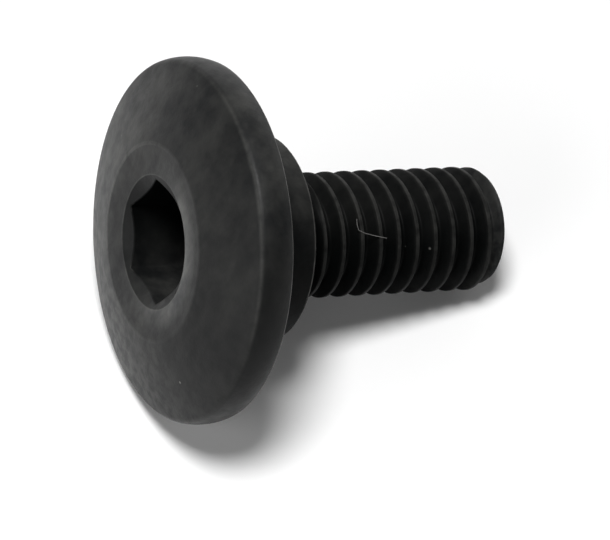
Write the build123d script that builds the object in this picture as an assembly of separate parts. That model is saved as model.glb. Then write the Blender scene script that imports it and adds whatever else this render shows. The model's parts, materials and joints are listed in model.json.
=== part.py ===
from build123d import *
from math import asin, atan2, ceil, cos, hypot, radians, sin, sqrt, tan
import os

# Wide button head screw with a locating collar, M6 x 1 right-hand thread, 5 mm hexagon socket.
# Sizes are millimetres. The screw is drawn on its own axis first: z = 0 at the top of the head,
# z grows towards the tip. It is then laid down on the rim of the head and the end of the thread.

# Head
HEAD_D = 17.1            # widest, half way along the side of the rim
RIM_CROWN = 0.16         # how far the side of the rim swells beyond its two edges
DOME_H = 1.18            # crest ring down to where the dome would meet the side of the rim
RIM_T = 1.62             # from there to the bearing face
RIM_FRONT_R = 0.4        # soft rounding, dome to rim
RIM_BREAK = 0.06         # edge break, rim to bearing face
CREST_D = 9.2            # ring where the dome meets the shallow dish
DISH_DEPTH = 0.06        # how far the dish sinks by the mouth of the socket

# Socket
MOUTH_D = 6.28           # outer edge of the countersink
MOUTH_ANGLE = 120.0      # included angle of the countersink
HEX_AF = 5.05            # across flats, for a 5 mm key
HEX_DEPTH = 3.3          # straight part, from the mouth
DRILL_ANGLE = 120.0      # included angle of the cone at the bottom
HEX_TURN = 19.4          # first corner, degrees from straight up as the screw lies

# Collar under the head
COLLAR_D = 9.64
COLLAR_L = 3.25
COLLAR_BREAK = 0.1       # edge break, collar to its end face

# Thread
THREAD_D = 6.0           # nominal
MAJOR_UNDER = 0.05       # how far the real crests stay under the nominal diameter
PITCH = 1.0
THREAD_L = 11.7          # collar face to the tip
NECK_PITCHES = 0.65      # relief beside the collar, in pitches
NECK_UNDER_PITCHES = 0.06  # how far it lies under the roots, in pitches
RUN_OUT_PITCHES = 0.85   # cone from the relief up to the full thread, in pitches
TIP_PITCHES = 0.6        # length of the rounded end, in pitches
TIP_EDGE_PITCHES = 0.2   # its blunter last part, in pitches
TIP_EDGE_UNDER = 0.26    # how far that part starts under the full radius
TIP_UNDER_PITCHES = 0.09 # how far it ends under the roots, in pitches
CREST_TURN = 41.0        # a crest passes here, degrees from straight up as the screw lies
CREST_PITCHES = 1.5      # its distance from the collar face, in pitches

# Values that follow from the ones above
head_r = HEAD_D / 2
rim_back_z = DOME_H + RIM_T
collar_z = rim_back_z + COLLAR_L
tip_z = collar_z + THREAD_L
major_r = (THREAD_D - MAJOR_UNDER) / 2
fundamental_h = PITCH * sqrt(3) / 2
root_r = THREAD_D / 2 - fundamental_h * 17 / 24
neck_r = root_r - NECK_UNDER_PITCHES * PITCH
tip_r = root_r - TIP_UNDER_PITCHES * PITCH
neck_z = collar_z + NECK_PITCHES * PITCH
full_thread_z = neck_z + RUN_OUT_PITCHES * PITCH
tip_start_z = tip_z - TIP_PITCHES * PITCH
tip_edge_z = tip_z - TIP_EDGE_PITCHES * PITCH
tip_edge_r = major_r - TIP_EDGE_UNDER
crest_z = collar_z + CREST_PITCHES * PITCH

# Dome: part of one sphere about the axis, through the crest ring and the edge of the rim
crest_r = CREST_D / 2
collar_r = COLLAR_D / 2
edge_r = head_r - RIM_CROWN
dome_centre_z = (edge_r ** 2 + DOME_H ** 2 - crest_r ** 2) / (2 * DOME_H)
dome_r = hypot(crest_r, dome_centre_z)

# Side of the rim: an arc that swells by the crown half way along
side_mid_z = DOME_H + RIM_T / 2
side_r = ((RIM_T / 2) ** 2 + RIM_CROWN ** 2) / (2 * RIM_CROWN)
side_centre_r = head_r - side_r

# Rounding between the two: its centre is where circles drawn inside both of them cross
apart = hypot(side_centre_r, dome_centre_z - side_mid_z)
lean = atan2(side_centre_r, dome_centre_z - side_mid_z)
dome_inner_r = dome_r - RIM_FRONT_R
side_inner_r = side_r - RIM_FRONT_R
reach = (dome_inner_r ** 2 - side_inner_r ** 2 + apart ** 2) / (2 * apart)
dome_end = lean + atan2(sqrt(dome_inner_r ** 2 - reach ** 2), reach)
round_centre_r = dome_inner_r * sin(dome_end)
round_centre_z = dome_centre_z - dome_inner_r * cos(dome_end)
side_start = atan2(round_centre_z - side_mid_z, round_centre_r - side_centre_r)
side_end = asin((RIM_T / 2 - RIM_BREAK) / side_r)


def on_dome(slope):
    return dome_r * sin(slope), dome_centre_z - dome_r * cos(slope)


def on_round(turn):
    return round_centre_r + RIM_FRONT_R * cos(turn), round_centre_z + RIM_FRONT_R * sin(turn)


def on_side(turn):
    return side_centre_r + side_r * cos(turn), side_mid_z + side_r * sin(turn)


# The rounding and the side are turned as narrow cones, which meet on the arcs
dome_mid = on_dome((asin(crest_r / dome_r) + dome_end) / 2)
rim_line = [on_dome(dome_end), on_round((dome_end - radians(90) + side_start) / 2)]
rim_line += [on_side(turn) for turn in (side_start, 0, side_end / 2, side_end)]
rim_line.append((rim_line[-1][0] - RIM_BREAK, rim_back_z))

# Head, collar and blank for the thread are one turned section
with BuildPart() as screw:
    with BuildSketch(Plane.XZ):
        with BuildLine():
            Polyline((0, DISH_DEPTH), (MOUTH_D / 2, DISH_DEPTH), (crest_r, 0))
            ThreePointArc((crest_r, 0), dome_mid, rim_line[0])
            Polyline(
                *rim_line,
                (collar_r, rim_back_z),
                (collar_r, collar_z - COLLAR_BREAK),
                (collar_r - COLLAR_BREAK, collar_z),
                (neck_r, collar_z),
                (neck_r, neck_z),
                (major_r, full_thread_z),
                (major_r, tip_start_z),
                (tip_edge_r, tip_edge_z),
                (tip_r, tip_z),
                (0, tip_z),
                (0, DISH_DEPTH),
            )
        make_face()
    revolve(axis=Axis.Z)

    # Countersink, hexagon and the cone left by the drill
    mouth_cone_h = MOUTH_D / 2 / tan(radians(MOUTH_ANGLE / 2))
    with BuildSketch(Plane.XZ):
        with BuildLine():
            Polyline(
                (0, DISH_DEPTH - mouth_cone_h),
                (MOUTH_D, DISH_DEPTH - mouth_cone_h),
                (0, DISH_DEPTH + mouth_cone_h),
                (0, DISH_DEPTH - mouth_cone_h),
            )
        make_face()
    revolve(axis=Axis.Z, mode=Mode.SUBTRACT)
    with BuildSketch(Plane.XY.offset(DISH_DEPTH)):
        RegularPolygon(HEX_AF / 2, 6, major_radius=False, rotation=HEX_TURN)
    extrude(amount=HEX_DEPTH, mode=Mode.SUBTRACT)
    drill_r = HEX_AF / 2
    drill_z = DISH_DEPTH + HEX_DEPTH
    drill_overlap = drill_r / 10
    with BuildSketch(Plane.XZ):
        with BuildLine():
            Polyline(
                (0, drill_z - drill_overlap),
                (drill_r, drill_z - drill_overlap),
                (drill_r, drill_z),
                (0, drill_z + drill_r / tan(radians(DRILL_ANGLE / 2))),
                (0, drill_z - drill_overlap),
            )
        make_face()
    revolve(axis=Axis.Z, mode=Mode.SUBTRACT)

    # Right-hand thread: a 60 degree groove swept along a helix, one edge to a turn. It starts
    # in the relief and leaves past the tip, so both ends of the cutter are clear of the metal.
    clearance = 0.03 * PITCH
    root_half = PITCH / 12
    wide_r = major_r + clearance
    wide_half = root_half + (wide_r - root_r) * tan(radians(30))
    clear_r = major_r + 10 * clearance
    start_z = collar_z + wide_half + clearance
    end_z = tip_z + wide_half + 3 * clearance
    start_turn = CREST_TURN + 360 * (start_z - crest_z - PITCH / 2) / PITCH
    one_turn = Helix(pitch=PITCH, height=PITCH, radius=root_r).edge()
    turns = ceil((end_z - start_z) / PITCH)
    path = Wire([Pos(0, 0, turn * PITCH) * one_turn for turn in range(turns)])
    with BuildSketch(Plane(origin=(root_r, 0, 0), x_dir=(1, 0, 0), z_dir=(0, -1, 0))) as tooth:
        with BuildLine():
            Polyline(
                (0, -root_half),
                (wide_r - root_r, -wide_half),
                (clear_r - root_r, -wide_half),
                (clear_r - root_r, wide_half),
                (wide_r - root_r, wide_half),
                (0, root_half),
                close=True,
            )
        make_face()
    groove = sweep(tooth.sketch, path=path, is_frenet=True, mode=Mode.PRIVATE)
    groove = Pos(0, 0, start_z) * Rot(0, 0, start_turn) * groove
    add(groove, mode=Mode.SUBTRACT)

# The screw lies on the side of its rim and on the last full crest of the thread, which is the
# one met straight below the axis. The line touching both gives the tilt of the axis.
down_crest_z = crest_z + PITCH * (180 - CREST_TURN) / 360
crest_half = PITCH / 2 - root_half - (major_r - root_r) * tan(radians(30))
whole_pitches = (tip_start_z - crest_half - down_crest_z) // PITCH
touch_z = down_crest_z + whole_pitches * PITCH + crest_half
tilt = max(atan2(r - major_r, touch_z - z) for r, z in rim_line)
axis = (cos(tilt), 0, -sin(tilt))
upward = (sin(tilt), 0, cos(tilt))
lying = Plane(origin=(0, 0, 0), x_dir=upward, z_dir=axis).location * screw.part
box = lying.bounding_box()
lying = Pos(-box.center().X, -box.center().Y, -box.min.Z) * lying

os.makedirs("parts", exist_ok=True)
export_step(lying, "parts/screw.step")
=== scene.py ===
import json
from math import asin, atan2, cos, hypot, pi, radians, sin, sqrt, tan

import bmesh
import bpy
import numpy as np
from mathutils import Matrix, Vector


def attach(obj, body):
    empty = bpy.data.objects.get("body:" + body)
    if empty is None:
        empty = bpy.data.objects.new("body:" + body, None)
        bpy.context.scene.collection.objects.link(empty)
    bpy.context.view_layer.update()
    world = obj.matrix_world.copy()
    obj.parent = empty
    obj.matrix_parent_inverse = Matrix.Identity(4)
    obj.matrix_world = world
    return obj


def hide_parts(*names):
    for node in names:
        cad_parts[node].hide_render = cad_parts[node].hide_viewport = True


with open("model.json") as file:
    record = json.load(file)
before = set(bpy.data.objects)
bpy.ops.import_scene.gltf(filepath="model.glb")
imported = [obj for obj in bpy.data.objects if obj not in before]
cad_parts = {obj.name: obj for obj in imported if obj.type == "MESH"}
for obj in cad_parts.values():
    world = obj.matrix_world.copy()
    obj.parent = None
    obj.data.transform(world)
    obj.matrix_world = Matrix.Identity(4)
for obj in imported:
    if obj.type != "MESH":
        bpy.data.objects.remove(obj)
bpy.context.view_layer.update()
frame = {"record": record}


# Screw. One piece of steel: its head, socket and collar are cold forged, its thread is rolled,
# and a hot salt bath has blackened it. Lengths are millimetres in its own frame, where z is 0
# at the top of the head and grows towards the tip, and x points up as the screw lies.
HEAD_D = 17.1            # widest, half way along the side of the rim
RIM_CROWN = 0.16         # how far the side of the rim swells beyond its two edges
DOME_H = 1.18            # crest ring down to where the dome would meet the side of the rim
RIM_T = 1.62             # from there to the bearing face
RIM_FRONT_R = 0.4        # soft edge, dome to rim
RIM_BREAK = 0.06         # edge break, rim to bearing face
CREST_D = 9.2            # ring where the dome meets the shallow dish
DISH_DEPTH = 0.06
MOUTH_D = 6.28           # outer edge of the socket's countersink
HEX_AF = 5.05            # across the flats of the socket
HEX_DEPTH = 3.3
CONE_LEDGE = 0.08        # between the flats and the drilled cone at the bottom
HEX_TURN = 19.4          # first corner of the socket, degrees from straight up
COLLAR_D = 9.64
COLLAR_L = 3.25
COLLAR_BREAK = 0.1       # edge break, collar to its end face
NOMINAL_D = 6.0
MAJOR_D = 5.95           # real crests of the thread
PITCH = 1.0
THREAD_L = 11.7          # collar face to the tip
NECK_L = 0.65            # relief beside the collar
NECK_UNDER = 0.06        # how far it lies under the roots
RUN_OUT_L = 0.85         # cone from the relief up to the full thread
TIP_L = 0.6              # rounded end
TIP_EDGE_L = 0.2         # its blunter last part
TIP_EDGE_UNDER = 0.26    # how far that part starts under the crests
TIP_UNDER = 0.09         # how far it ends under the roots
CREST_TURN = 41.0        # a crest passes here, degrees from straight up
CREST_FROM_COLLAR = 1.5

# Roundings of the edges that the solid leaves sharp
BREAK_ROUND = 0.02
SOCKET_FLOOR_ROUND = 0.03
COLLAR_EDGE_ROUND = 0.04
SOCKET_EDGE_ROUND = 0.05
MOUTH_ROUND = 0.07
COLLAR_ROOT_ROUND = 0.08
CREST_RING_ROUND = 0.6
THREAD_CREST_ROUND = 0.04
THREAD_ROOT_ROUND = 0.07
NECK_ROUND = 0.2
THREAD_END_ROUND = 0.3
TIP_FACE_ROUND = 0.06

# Fineness of the mesh
COLUMNS = 180            # round the axis, a multiple of six so that the socket's corners are met
DOME_ROWS = 25
DOME_CLEAR = 0.2         # its rows start this far outside the crest ring
RIM_FRONT_ROWS = 10
RIM_BRIGHT_ROW = 4         # the brightest of them: a painted highlight line, with some wear
RIM_SIDE_ROWS = 12
MARGIN = 0.03            # plain strip beside each rounded edge, which keeps the flats flat
MIDDLE_R = 0.02          # innermost ring of the socket's cone

head_r = HEAD_D / 2
crest_r = CREST_D / 2
mouth_r = MOUTH_D / 2
collar_r = COLLAR_D / 2
major_r = MAJOR_D / 2
root_r = NOMINAL_D / 2 - PITCH * sqrt(3) / 2 * 17 / 24    # standard depth
neck_r = root_r - NECK_UNDER
tip_r = root_r - TIP_UNDER
rim_back_z = DOME_H + RIM_T
collar_z = rim_back_z + COLLAR_L
neck_z = collar_z + NECK_L
full_thread_z = neck_z + RUN_OUT_L
tip_z = collar_z + THREAD_L
tip_start_z = tip_z - TIP_L

# The countersink and the drilled cone are 120 degrees wide and the thread's groove is 60, so
# each of them falls by this share of its run.
fall = tan(radians(30))


def rounded(corners, steps=3):
    """The line through corners (a, b, radius, wear and highlight). Each radius rounds its corner,
    and the arc there takes the corner's share of wear and painted highlight."""
    line = []
    for index, (a, b, radius, wear_and_highlight) in enumerate(corners):
        here = Vector((a, b))
        if radius == 0:
            line.append((a, b, wear_and_highlight))
            continue
        back = (Vector(corners[index - 1][:2]) - here).normalized()
        on = (Vector(corners[index + 1][:2]) - here).normalized()
        half = back.angle(on) / 2
        run = radius / tan(half)
        centre = here + (back + on).normalized() * radius / sin(half)
        first = here + back * run - centre
        last = here + on * run - centre
        line.append((*(here + back * (run + MARGIN)), 0))
        for step in range(steps + 1):
            share = step / steps
            arm = (first * (1 - share) + last * share).normalized() * radius
            line.append((*(centre + arm), wear_and_highlight))
        line.append((*(here + on * (run + MARGIN)), 0))
    return line


def spread(first, last, count):
    """Corners with no arc, evenly between two points, without the points themselves."""
    shares = [(step + 1) / (count + 1) for step in range(count)]
    return [(first[0] + (last[0] - first[0]) * share, first[1] + (last[1] - first[1]) * share, 0, 0)
            for share in shares]


# The dome is part of one sphere and the side of the rim is an arc that swells half way along.
# The soft edge between them is an arc that touches both.
edge_r = head_r - RIM_CROWN
dome_centre_z = (edge_r ** 2 + DOME_H ** 2 - crest_r ** 2) / (2 * DOME_H)
dome_r = hypot(crest_r, dome_centre_z)
dome_start = asin(crest_r / dome_r)
side_mid_z = DOME_H + RIM_T / 2
side_r = ((RIM_T / 2) ** 2 + RIM_CROWN ** 2) / (2 * RIM_CROWN)
side_centre_r = head_r - side_r
apart = hypot(side_centre_r, dome_centre_z - side_mid_z)
lean = atan2(side_centre_r, dome_centre_z - side_mid_z)
dome_inner_r = dome_r - RIM_FRONT_R
reach = (dome_inner_r ** 2 - (side_r - RIM_FRONT_R) ** 2 + apart ** 2) / (2 * apart)
dome_end = lean + atan2(sqrt(dome_inner_r ** 2 - reach ** 2), reach)
front_centre_r = dome_inner_r * sin(dome_end)
front_centre_z = dome_centre_z - dome_inner_r * cos(dome_end)
front_start = dome_end - pi / 2
side_start = atan2(front_centre_z - side_mid_z, front_centre_r - side_centre_r)
side_end = asin((RIM_T / 2 - RIM_BREAK) / side_r)


def head_line(wall_r):
    """Section of the head and collar from the bottom of the socket out, where the socket's wall
    is this far from the axis."""
    wall_z = DISH_DEPTH + (mouth_r - wall_r) * fall
    floor_z = DISH_DEPTH + HEX_DEPTH
    cone_r = HEX_AF / 2 - CONE_LEDGE
    cone_bottom = (MIDDLE_R, floor_z + cone_r * fall)
    corners = [(*cone_bottom, 0, 0), *spread(cone_bottom, (cone_r, floor_z), 5)]
    corners += [(cone_r, floor_z, 0, 0), (wall_r, floor_z, SOCKET_FLOOR_ROUND, 0)]
    corners += spread((wall_r, floor_z), (wall_r, wall_z), 8)
    corners += [(wall_r, wall_z, SOCKET_EDGE_ROUND, 0.4), (mouth_r, DISH_DEPTH, MOUTH_ROUND, 0.9)]
    corners += spread((mouth_r, DISH_DEPTH), (crest_r, 0), 3)
    corners += [(crest_r, 0, CREST_RING_ROUND, 0.6)]
    for row in range(1, DOME_ROWS):
        slope = dome_start + (dome_end - dome_start) * row / DOME_ROWS
        if dome_r * sin(slope) > crest_r + DOME_CLEAR:
            corners += [(dome_r * sin(slope), dome_centre_z - dome_r * cos(slope), 0, 0)]
    for row in range(RIM_FRONT_ROWS + 1):
        turn = front_start + (side_start - front_start) * row / RIM_FRONT_ROWS
        # A painted highlight line along the soft edge, with some wear, brightest on one row.
        wear_and_highlight = max(0, 1 - abs(row - RIM_BRIGHT_ROW) / RIM_BRIGHT_ROW)
        corners += [(front_centre_r + RIM_FRONT_R * cos(turn),
                     front_centre_z + RIM_FRONT_R * sin(turn), 0, wear_and_highlight)]
    for row in range(1, RIM_SIDE_ROWS):
        turn = side_start + (side_end - side_start) * row / RIM_SIDE_ROWS
        corners += [(side_centre_r + side_r * cos(turn), side_mid_z + side_r * sin(turn), 0, 0)]
    break_r = side_centre_r + side_r * cos(side_end)
    back_r = break_r - RIM_BREAK
    corners += [(break_r, rim_back_z - RIM_BREAK, BREAK_ROUND, 1), (back_r, rim_back_z, BREAK_ROUND, 1)]
    corners += spread((back_r, rim_back_z), (collar_r, rim_back_z), 6)
    corners += [(collar_r, rim_back_z, COLLAR_ROOT_ROUND, 0)]
    corners += spread((collar_r, rim_back_z), (collar_r, collar_z - COLLAR_BREAK), 6)
    corners += [(collar_r, collar_z - COLLAR_BREAK, COLLAR_EDGE_ROUND, 1)]
    corners += [(collar_r - COLLAR_BREAK, collar_z, COLLAR_EDGE_ROUND, 1)]
    corners += spread((collar_r - COLLAR_BREAK, collar_z), (neck_r, collar_z), 4)
    corners += [(neck_r, collar_z, 0, 0)]
    return rounded(corners)


# One pitch of the thread's section, as distance from the crest along the axis and radius. The
# relief, the cone up to the full thread and the rounded end limit how far the metal reaches.
root_half = PITCH / 12
crest_half = PITCH / 2 - root_half - (major_r - root_r) * fall
root_edge = PITCH / 2 - root_half
thread_line = rounded([
    (-PITCH / 2, root_r, 0, 0),
    (-root_edge, root_r, THREAD_ROOT_ROUND, 0),
    *spread((-root_edge, root_r), (-crest_half, major_r), 3),
    (-crest_half, major_r, THREAD_CREST_ROUND, 0),
    (crest_half, major_r, THREAD_CREST_ROUND, 0),
    *spread((crest_half, major_r), (root_edge, root_r), 3),
    (root_edge, root_r, THREAD_ROOT_ROUND, 0),
    (PITCH / 2, root_r, 0, 0),
], steps=2)
limit_line = rounded([
    (collar_z - PITCH, neck_r, 0, 0),
    (neck_z, neck_r, NECK_ROUND, 0),
    (full_thread_z, major_r, THREAD_END_ROUND, 0),
    (tip_start_z, major_r, THREAD_END_ROUND, 0),
    (tip_z - TIP_EDGE_L, major_r - TIP_EDGE_UNDER, THREAD_END_ROUND, 0),
    (tip_z, tip_r, TIP_FACE_ROUND, 0),
    (tip_z, 0, 0, 0),
], steps=4)[:-1]
limit_z = [z for z, r, wear_and_highlight in limit_line]
limit_r = [r for z, r, wear_and_highlight in limit_line]

turns = np.radians(HEX_TURN + np.arange(COLUMNS) * 360 / COLUMNS)
flat_angles = np.radians(np.arange(COLUMNS) * 360 / COLUMNS % 60 - 30)
head_rows = np.array([head_line(HEX_AF / 2 / cos(angle)) for angle in flat_angles])


def towards(turn, degrees):
    """One on this side of the axis, falling to nothing half way round. Straight up is 0 degrees
    and the near side is 90."""
    return (1 + np.cos(turn - radians(degrees))) / 2


# The thread is one long spiral grid. Its rows follow the crest, and where they would pass the
# collar or the tip they are gathered on the ring there. The crests are lighter: a little wear
# all round, and painted light on top.
CREST_STRIP = 0.06        # depth of the lighter strip
CREST_FADE = 0.05        # over which its lightness grows to full
first_pitch = -4
last_pitch = int(THREAD_L / PITCH) + 2
lead = PITCH * (np.degrees(turns) - CREST_TURN) / 360
# Painted light: crests on top are painted lighter, over a little wear all round.
crest_wear_and_light = 0.07 + 0.36 * towards(turns, 0) ** 3
spiral = []
for pitch_number in range(first_pitch, last_pitch):
    for along_crest, radius, wear_and_highlight in thread_line[:-1]:
        z = collar_z + CREST_FROM_COLLAR + pitch_number * PITCH + lead + along_crest
        z = np.clip(z, collar_z, tip_z)
        r = np.minimum(radius, np.interp(z, limit_z, limit_r))
        worn_and_lit = np.clip((r - major_r + CREST_STRIP) / CREST_FADE, 0, 1) * crest_wear_and_light
        spiral.append(np.column_stack([r, z, worn_and_lit]))
thread_rows = np.array(spiral).transpose(1, 0, 2)
end_line = [(limit_r[-1], tip_z, 0, 0), *spread((limit_r[-1], tip_z), (0, tip_z), 4)]
end_rows = np.array([[(r, z, 0) for r, z, radius, wear_and_highlight in end_line]] * COLUMNS)


def rub_and_painted_light(r, z, turn):
    """How far the black skin is painted grey, partly where handling rubbed it and partly as painted
    light and reflection: the front of the head most, with a painted light arc by the socket's mouth,
    lighter on one flank and darker on the other, then the top and the foot of the rim's side. The
    socket and thread stay near black, save for painted light on the socket's lower wall, on the
    thread's top and at the thread's end."""
    # Painted light on the socket's lower wall.
    if r < mouth_r and DISH_DEPTH < z < collar_z:
        return 0.01 + 0.6 * towards(turn, 160) ** 4
    # Painted light and reflection on the front: an arc of the dish by the mouth and one flank of the
    # dome lighter, the other flank darker, over a base grey share.
    near_mouth = np.interp(r, [mouth_r, mouth_r + 1.1], [1, 0])
    dish = 0.47 + 2.6 * near_mouth * towards(turn, 68) ** 2
    dome = 0.42 + 0.8 * towards(turn, 222) ** 2 - 0.27 * towards(turn, 125) ** 2
    front = np.interp(r, [crest_r - 0.7, crest_r + 0.5], [dish, dome])
    # Painted light and reflection: the top and foot of the rim's side, the top of the collar and of the
    # thread, and the thread's end.
    side = 0.85 * towards(turn, 6) ** 7 + 0.9 * towards(turn, 168) ** 7
    collar = 0.02 + 0.8 * towards(turn, -15) ** 4
    thread = 0.25 * towards(turn, -20) ** 4
    from_top = [
        (DOME_H - 0.1, front),
        (DOME_H + 0.25, side),
        (rim_back_z, side),
        (rim_back_z + 0.2, collar),
        (collar_z - 0.1, collar),
        (collar_z, thread),
        (tip_start_z - 0.7, thread),
        (tip_start_z, thread + 0.55),
    ]
    depths, shares = zip(*from_top)
    return np.interp(z, depths, shares)


def edge_wear_and_highlight(z, wear_and_highlight, turn):
    """Wear and painted highlight of an edge, uneven round the axis: each edge of the head is painted
    brightest on one flank, where light falls.
    """
    # Each factor round the axis paints a highlight on one flank; the share it scales is partly real
    # wear.
    if z < DISH_DEPTH / 2:
        crest_ring = 0.1 + 1.4 * towards(turn, 245) ** 3
        return wear_and_highlight * crest_ring
    if z < DISH_DEPTH + 0.2:
        mouth = 0.6 + 1.1 * towards(turn, 85) ** 3
        return wear_and_highlight * mouth
    if z < rim_back_z - 0.2:
        rim_front = 0.06 + 0.42 * towards(turn, 20) ** 6
        return wear_and_highlight * rim_front
    return wear_and_highlight


# The front and side of the head have the first material. What lies behind the bearing face or
# inside the socket has the second, a copy that reflects less: painted shade.
SHADED_R = mouth_r - 0.15


def add_grid(mesh, layers, rows, shift=0):
    """Faces between columns of rows (radius, z, wear and highlight) round the axis, the last joined to
    the first.
    """
    wear_and_highlight_layer, rub_and_light_layer = layers
    grid = []
    for column, turn in zip(rows, turns):
        line = []
        for r, z, wear_and_highlight in column:
            vertex = mesh.verts.new((r * cos(turn), r * sin(turn), z))
            # Painted on each vertex: edge wear with painted highlight, and the grey share, partly
            # rubbing and partly painted light.
            vertex[wear_and_highlight_layer] = edge_wear_and_highlight(z, wear_and_highlight, turn)
            vertex[rub_and_light_layer] = rub_and_painted_light(r, z, turn)
            line.append(vertex)
        grid.append(line)
    last_row = len(grid[0]) - 1
    for index, line in enumerate(grid):
        beside = grid[(index + 1) % COLUMNS]
        offset = shift if index + 1 == COLUMNS else 0
        for row in range(last_row):
            low = min(row + offset, last_row)
            high = min(row + 1 + offset, last_row)
            corners = [line[row], line[row + 1], beside[high]]
            if low != high:
                corners.append(beside[low])
            face = mesh.faces.new(corners)
            # Faces inside the socket or behind the bearing face take the copy that reflects less:
            # painted shade.
            behind = min(corner.co.z for corner in corners) > rim_back_z
            inside = max(hypot(corner.co.x, corner.co.y) for corner in corners) < SHADED_R
            face.material_index = 1 if behind or inside else 0
    return grid


mesh = bmesh.new()
# Vertex layers: edge wear with painted highlight, and the grey share, partly rubbing and partly painted
# light.
mesh.verts.layers.float.new("wear_and_highlight")
mesh.verts.layers.float.new("rub_and_painted_light")
layers = [mesh.verts.layers.float[name] for name in ("wear_and_highlight", "rub_and_painted_light")]
head_grid = add_grid(mesh, layers, head_rows)
add_grid(mesh, layers, thread_rows, shift=len(thread_line) - 1)
end_grid = add_grid(mesh, layers, end_rows)

# Fans close the bottom of the socket and the face of the tip, and rows that were gathered on a
# ring are merged there.
for inner_ring in ([line[0] for line in head_grid], [line[-1] for line in end_grid]):
    middle = mesh.verts.new((0, 0, inner_ring[0].co.z))
    for index, vertex in enumerate(inner_ring):
        face = mesh.faces.new([middle, vertex, inner_ring[(index + 1) % COLUMNS]])
        # The fans take the copy that reflects less: painted shade.
        face.material_index = 1
bmesh.ops.remove_doubles(mesh, verts=mesh.verts, dist=0.0005)
bmesh.ops.dissolve_degenerate(mesh, edges=mesh.edges, dist=0.0001)
bmesh.ops.recalc_face_normals(mesh, faces=mesh.faces)

# The record's mounts say where the axis lies: the socket's mouth is on it, and the bearing face
# looks along it towards the tip.
mounts = {mount["name"]: mount for mount in frame["record"]["mounts"]}
along = Vector(mounts["bearing_face"]["axis"]).normalized()
sideways = Vector((0, -1, 0))
upward = sideways.cross(along)
head_top = Vector(mounts["hex_drive"]["pos_m"]) - along * DISH_DEPTH / 1000
lying = Matrix((upward, sideways, along)).transposed().to_4x4()
to_metres = Matrix.Diagonal((0.001, 0.001, 0.001, 1))

# The true arcs would pass the flats of the solid's mesh by a few thousandths of a millimetre.
# This nudge keeps them inside its box.
nudge = Vector((0.0045, 0, -0.0008)) / 1000
mesh.transform(Matrix.Translation(head_top + nudge) @ lying @ to_metres)
screw_mesh = bpy.data.meshes.new("black_screw")
mesh.to_mesh(screw_mesh)
mesh.free()
screw_mesh.shade_smooth()
screw = bpy.data.objects.new("black_screw", screw_mesh)
bpy.context.scene.collection.objects.link(screw)


def colour(code):
    """Linear colour with alpha from an sRGB hex code."""
    values = [int(code[index:index + 2], 16) / 255 for index in (1, 3, 5)]
    return [v / 12.92 if v <= 0.04045 else ((v + 0.055) / 1.055) ** 2.4 for v in values] + [1]


def add_node(material, kind, settings=None, links=None):
    """Adds a node. Settings are its properties; links give each input a value or another output.
    Where names repeat, an input goes by its place: a Mix has its factor at 0, its numbers at 2
    and 3, and its colours at 6 and 7."""
    node = material.node_tree.nodes.new(kind)
    for name, value in (settings or {}).items():
        setattr(node, name, value)
    for name, value in (links or {}).items():
        if isinstance(value, bpy.types.NodeSocket):
            material.node_tree.links.new(value, node.inputs[name])
        else:
            node.inputs[name].default_value = value
    return node


def new_material(name):
    material = bpy.data.materials.new(name)
    material.use_nodes = True
    material.node_tree.nodes.clear()
    return material


# Sizes of the patterns in the skin, in millimetres
CLOUD_SIZE = 3.2         # slow change in its thickness
PATCH_SIZE = 0.6         # mottle left by handling
LUMP_H = 0.02
STROKE_W = 5 / 6         # strokes left by wiping
STROKE_L = 10 / 3
GRAIN_SIZE = 0.12        # the real crystals are about 0.01, too fine to show, so drawn coarser
GRAIN_H = 0.01
SPECK_R = 0.084          # specks of dust
SPECK_SPACING = 1.4      # between their cells, of which most are left empty


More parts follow.
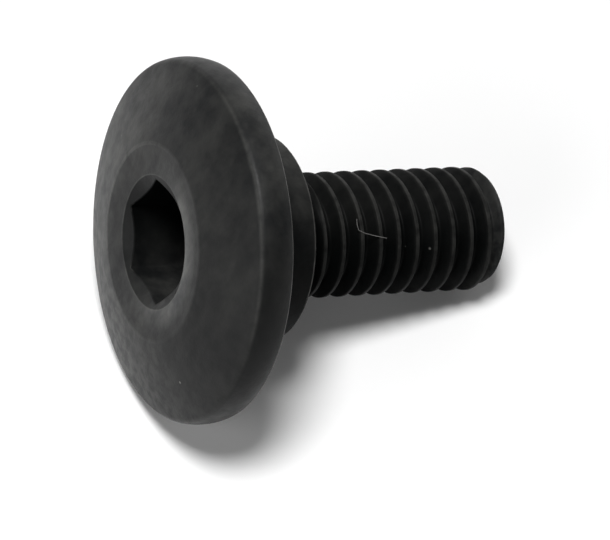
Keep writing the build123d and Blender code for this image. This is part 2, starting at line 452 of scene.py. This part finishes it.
def black_oxide_steel(name, index):
    """Hot black oxide on forged steel. The skin is matt and cloudy, near black where it is thick,
    greyer where the grey share paints it, which is partly rubbing and partly painted light and
    reflection, and lighter on the edges, partly steel showing through and partly painted highlight.
    Its index is well below that of solid oxide as the skin is porous; the second copy, with a lower
    index, reflects less and so paints shade."""
    material = new_material(name)
    place = add_node(material, "ShaderNodeTexCoord").outputs["Object"]
    millimetres = add_node(material, "ShaderNodeVectorMath", {"operation": "SCALE"},
                           {0: place, "Scale": 1000}).outputs[0]

    # Patterns in the skin: clouds, mottle, grain and strokes that lean across the head
    clouds = add_node(material, "ShaderNodeTexNoise", {}, {
        "Vector": millimetres, "Scale": 1 / CLOUD_SIZE, "Detail": 3, "Roughness": 0.5}).outputs["Fac"]
    patches = add_node(material, "ShaderNodeTexNoise", {}, {
        "Vector": millimetres, "Scale": 1 / PATCH_SIZE, "Detail": 4, "Roughness": 0.6}).outputs["Fac"]
    grain = add_node(material, "ShaderNodeTexNoise", {}, {
        "Vector": millimetres, "Scale": 1 / GRAIN_SIZE, "Detail": 2, "Roughness": 0.5}).outputs["Fac"]
    leaning = add_node(material, "ShaderNodeMapping", {}, {
        "Vector": millimetres, "Rotation": (radians(-38), 0, 0),
        "Scale": (1 / STROKE_W, 1 / STROKE_W, 1 / STROKE_L)}).outputs[0]
    strokes = add_node(material, "ShaderNodeTexNoise", {}, {
        "Vector": leaning, "Scale": 1, "Detail": 3, "Roughness": 0.55}).outputs["Fac"]
    cloud_share = add_node(material, "ShaderNodeMapRange", {}, {
        "Value": clouds, "From Min": 0.35, "From Max": 0.65}).outputs[0]
    patch_share = add_node(material, "ShaderNodeMapRange", {}, {
        "Value": patches, "From Min": 0.41, "From Max": 0.59}).outputs[0]
    stroke_share = add_node(material, "ShaderNodeMapRange", {}, {
        "Value": strokes, "From Min": 0.4, "From Max": 0.68}).outputs[0]

    # The mottle is strongest low down, where the rim has rubbed on the bench
    height = add_node(material, "ShaderNodeSeparateXYZ", {}, {0: millimetres}).outputs["Z"]
    patch_weight = add_node(material, "ShaderNodeMapRange", {}, {
        "Value": height, "From Min": 6.0, "From Max": 2.0, "To Min": 0.12, "To Max": 0.75}).outputs[0]
    mottled = add_node(material, "ShaderNodeMix", {}, {
        0: 0.5, 2: cloud_share, 3: stroke_share}).outputs[0]
    mottled = add_node(material, "ShaderNodeMix", {}, {
        0: patch_weight, 2: mottled, 3: patch_share}).outputs[0]

    # Black skin, painted grey by the grey share (partly rubbing, partly painted light), then lighter on
    # the edges: worn steel and painted highlight
    skin = add_node(material, "ShaderNodeMix", {"data_type": "RGBA"}, {
        0: cloud_share, 6: colour("#020303"), 7: colour("#060707")}).outputs[2]
    grey = add_node(material, "ShaderNodeMix", {"data_type": "RGBA"}, {
        0: mottled, 6: colour("#202122"), 7: colour("#454543")}).outputs[2]
    rub_and_light_share = add_node(
        material, "ShaderNodeAttribute", {"attribute_name": "rub_and_painted_light"}).outputs["Fac"]
    rubbed_and_lit_grey = add_node(material, "ShaderNodeMix", {"data_type": "RGBA", "clamp_factor": False}, {
        0: rub_and_light_share, 6: skin, 7: grey}).outputs[2]
    # Edges lighter: partly worn steel, partly painted highlight.
    wear_and_highlight = add_node(material, "ShaderNodeAttribute", {"attribute_name": "wear_and_highlight"}).outputs["Fac"]
    uneven = add_node(material, "ShaderNodeMapRange", {}, {
        "Value": patches, "From Min": 0.35, "From Max": 0.6, "To Min": 0.35, "To Max": 1.0}).outputs[0]
    broken = add_node(material, "ShaderNodeMath", {"operation": "MULTIPLY"}, {
        0: wear_and_highlight, 1: uneven}).outputs[0]
    edged = add_node(material, "ShaderNodeMix", {"data_type": "RGBA"}, {
        0: broken, 6: rubbed_and_lit_grey, 7: colour("#4c4c4a")}).outputs[2]

    # Dust: a speck in the middle of a few cells
    cells = add_node(material, "ShaderNodeTexVoronoi", {}, {
        "Vector": millimetres, "Scale": 1 / SPECK_SPACING}).outputs
    near = add_node(material, "ShaderNodeMapRange", {}, {
        "Value": cells["Distance"],
        "From Min": SPECK_R / SPECK_SPACING, "From Max": SPECK_R / SPECK_SPACING / 3}).outputs[0]
    chosen = add_node(material, "ShaderNodeSeparateColor", {}, {0: cells["Color"]}).outputs[0]
    chosen = add_node(material, "ShaderNodeMapRange", {}, {
        "Value": chosen, "From Min": 0.55, "From Max": 0.9}).outputs[0]
    dust = add_node(material, "ShaderNodeMath", {"operation": "MULTIPLY"}, {
        0: near, 1: chosen}).outputs[0]
    dusty = add_node(material, "ShaderNodeMix", {"data_type": "RGBA"}, {
        0: dust, 6: edged, 7: colour("#6e6d6a")}).outputs[2]

    # Matt, a little smoother where the patches are rubbed, over faint lumps and grain
    matt = add_node(material, "ShaderNodeMapRange", {}, {
        "Value": patches, "From Min": 0.3, "From Max": 0.7, "To Min": 0.52, "To Max": 0.42}).outputs[0]
    lumps = add_node(material, "ShaderNodeBump", {}, {
        "Height": patches, "Strength": 0.5, "Distance": LUMP_H / 1000}).outputs[0]
    grainy = add_node(material, "ShaderNodeBump", {}, {
        "Height": grain, "Strength": 0.4, "Distance": GRAIN_H / 1000, "Normal": lumps}).outputs[0]
    steel = add_node(material, "ShaderNodeBsdfPrincipled", {}, {
        "Base Color": dusty, "Roughness": matt, "Normal": grainy, "IOR": index})
    add_node(material, "ShaderNodeOutputMaterial", {}, {"Surface": steel.outputs[0]})
    return material


screw_mesh.materials.append(black_oxide_steel("head_black_oxide", 1.25))
# The second copy's lower index makes it reflect less: painted shade on the socket's inside and behind
# the bearing face.
screw_mesh.materials.append(black_oxide_steel("shaded_black_oxide", 1.12))
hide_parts("screw")
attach(screw, "root")


# Lint. A short pale cotton fibre, picked up from a cloth, that clings to the crests of the
# thread by itself. It is swept as a thin closed tube.
FIBRE_R = 0.022
FIBRE_SIDES = 6
FIBRE_PLACES = [         # degrees from straight up, and distance from the top of the head
    (30, 9.3),
    (35, 9.28),
    (40, 9.33),
    (43, 9.65),
    (46, 10.25),
    (48.5, 10.85),
]
fibre_arm = major_r + FIBRE_R / 2
places = [Vector((fibre_arm * cos(radians(turn)), fibre_arm * sin(radians(turn)), z))
          for turn, z in FIBRE_PLACES]
mesh = bmesh.new()
rings = []
for index, place in enumerate(places):
    ahead = places[min(index + 1, len(places) - 1)] - places[max(index - 1, 0)]
    outward = Vector((place.x, place.y, 0)).normalized()
    across = ahead.cross(outward).normalized()
    angles = [2 * pi * side / FIBRE_SIDES for side in range(FIBRE_SIDES)]
    spokes = [outward * cos(angle) + across * sin(angle) for angle in angles]
    rings.append([mesh.verts.new(place + spoke * FIBRE_R) for spoke in spokes])
for ring, following in zip(rings, rings[1:]):
    for side in range(FIBRE_SIDES):
        after = (side + 1) % FIBRE_SIDES
        mesh.faces.new([ring[side], ring[after], following[after], following[side]])
mesh.faces.new(rings[0])
mesh.faces.new(rings[-1])
bmesh.ops.recalc_face_normals(mesh, faces=mesh.faces)
mesh.transform(Matrix.Translation(head_top) @ lying @ to_metres)
fibre_mesh = bpy.data.meshes.new("lint_fibre")
mesh.to_mesh(fibre_mesh)
mesh.free()
fibre = bpy.data.objects.new("lint_fibre", fibre_mesh)
bpy.context.scene.collection.objects.link(fibre)

LINT_PATCH = 0.4         # change of tone along the fibre, millimetres


def pale_cotton_lint():
    """Cotton lint, matt, a little uneven along its length."""
    material = new_material("pale_cotton_lint")
    place = add_node(material, "ShaderNodeTexCoord").outputs["Object"]
    uneven = add_node(material, "ShaderNodeTexNoise", {}, {
        "Vector": place, "Scale": 1000 / LINT_PATCH, "Detail": 2}).outputs["Fac"]
    lint_colour = add_node(material, "ShaderNodeMix", {"data_type": "RGBA"}, {
        0: uneven, 6: colour("#3a3a39"), 7: colour("#777674")}).outputs[2]
    lint = add_node(material, "ShaderNodeBsdfPrincipled", {}, {
        "Base Color": lint_colour, "Roughness": 0.9, "IOR": 1.3})
    add_node(material, "ShaderNodeOutputMaterial", {}, {"Surface": lint.outputs[0]})
    return material


fibre_mesh.materials.append(pale_cotton_lint())
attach(fibre, "root")


# Floor. A sheet of matt white paper, wide enough to run out of every view. The screw lies on
# it and casts its shadow there.
FLOOR_SIZE = 3.0
mesh = bmesh.new()
bmesh.ops.create_grid(mesh, x_segments=4, y_segments=4, size=FLOOR_SIZE / 2)
floor_mesh = bpy.data.meshes.new("white_floor")
mesh.to_mesh(floor_mesh)
mesh.free()
floor = bpy.data.objects.new("white_floor", floor_mesh)
bpy.context.scene.collection.objects.link(floor)


def matt_white_paper():
    """Matt white paper. The camera sees it a little whiter than it lights the screw, so that it
    reads as a plain white ground outside the shadow."""
    material = new_material("matt_white_paper")
    rays = add_node(material, "ShaderNodeLightPath").outputs
    seen = add_node(material, "ShaderNodeMath", {"operation": "MAXIMUM"}, {
        0: rays["Is Camera Ray"], 1: rays["Is Glossy Ray"]}).outputs[0]
    seen = add_node(material, "ShaderNodeMath", {"operation": "MAXIMUM"}, {
        0: seen, 1: rays["Is Transmission Ray"]}).outputs[0]
    paper_colour = add_node(material, "ShaderNodeMix", {"data_type": "RGBA"}, {
        0: seen, 6: colour("#e8e8e8"), 7: colour("#ffffff")}).outputs[2]
    paper = add_node(material, "ShaderNodeBsdfDiffuse", {}, {"Color": paper_colour})
    add_node(material, "ShaderNodeOutputMaterial", {}, {"Surface": paper.outputs[0]})
    return material


floor_mesh.materials.append(matt_white_paper())


# Light. A soft box overhead is the key. A white wall stands on the left, which the head hides
# from the thread, with low ones behind and on the right. The side of the camera is dark.
LOOK_AT = Vector((0, 0, 0.008))


def soft_box(name, place, width, height, power):
    lamp = bpy.data.lights.new(name, "AREA")
    lamp.shape = "ELLIPSE"
    lamp.size = width
    lamp.size_y = height
    lamp.energy = power
    box = bpy.data.objects.new(name, lamp)
    box.location = place
    box.rotation_euler = (LOOK_AT - Vector(place)).to_track_quat("-Z", "Y").to_euler()
    bpy.context.scene.collection.objects.link(box)


soft_box("ceiling_light", (-0.05, -0.07, 0.48), width=0.16, height=0.16, power=2.1)
soft_box("left_wall", (-0.47, -0.15, 0.2), width=0.7, height=0.4, power=1.35)
soft_box("back_wall", (0.2, 0.5, 0.12), width=1.0, height=0.24, power=0.9)
soft_box("right_wall", (0.5, 0.1, 0.12), width=0.6, height=0.24, power=0.2)
room = bpy.data.worlds.new("white_room")
room.use_nodes = True
room_light = room.node_tree.nodes["Background"].inputs
room_light["Color"].default_value = colour("#ffffff")
room_light["Strength"].default_value = 0.04
bpy.context.scene.world = room


# Camera. It looks down on the screw from the side of its head, with a long lens. Its place is
# given from the top of the head, in millimetres.
AZIMUTH = radians(-21.5)
ELEVATION = radians(51.18)
DISTANCE = 193.9
HEAD_LEFT = 7.0768       # how far left of the picture's middle the top of the head lies
HEAD_UP = 1.2753         # and how far above it
FOCAL_PIXELS = 4200
IMAGE_WIDTH = 610
SENSOR_WIDTH = 36.0

right = Vector((cos(AZIMUTH), sin(AZIMUTH), 0))
back = Vector((sin(AZIMUTH) * cos(ELEVATION), -cos(AZIMUTH) * cos(ELEVATION), sin(ELEVATION)))
up = back.cross(right)
camera_data = bpy.data.cameras.new("camera")
camera_data.sensor_width = SENSOR_WIDTH
camera_data.lens = FOCAL_PIXELS * SENSOR_WIDTH / IMAGE_WIDTH
camera_data.clip_start = 0.01
camera_data.clip_end = 10
camera = bpy.data.objects.new("camera", camera_data)
camera.matrix_world = Matrix((right, up, back)).transposed().to_4x4()
camera.location = head_top + (right * HEAD_LEFT - up * HEAD_UP + back * DISTANCE) / 1000
bpy.context.scene.collection.objects.link(camera)
bpy.context.scene.camera = camera
bpy.context.scene.view_settings.view_transform = "Standard"
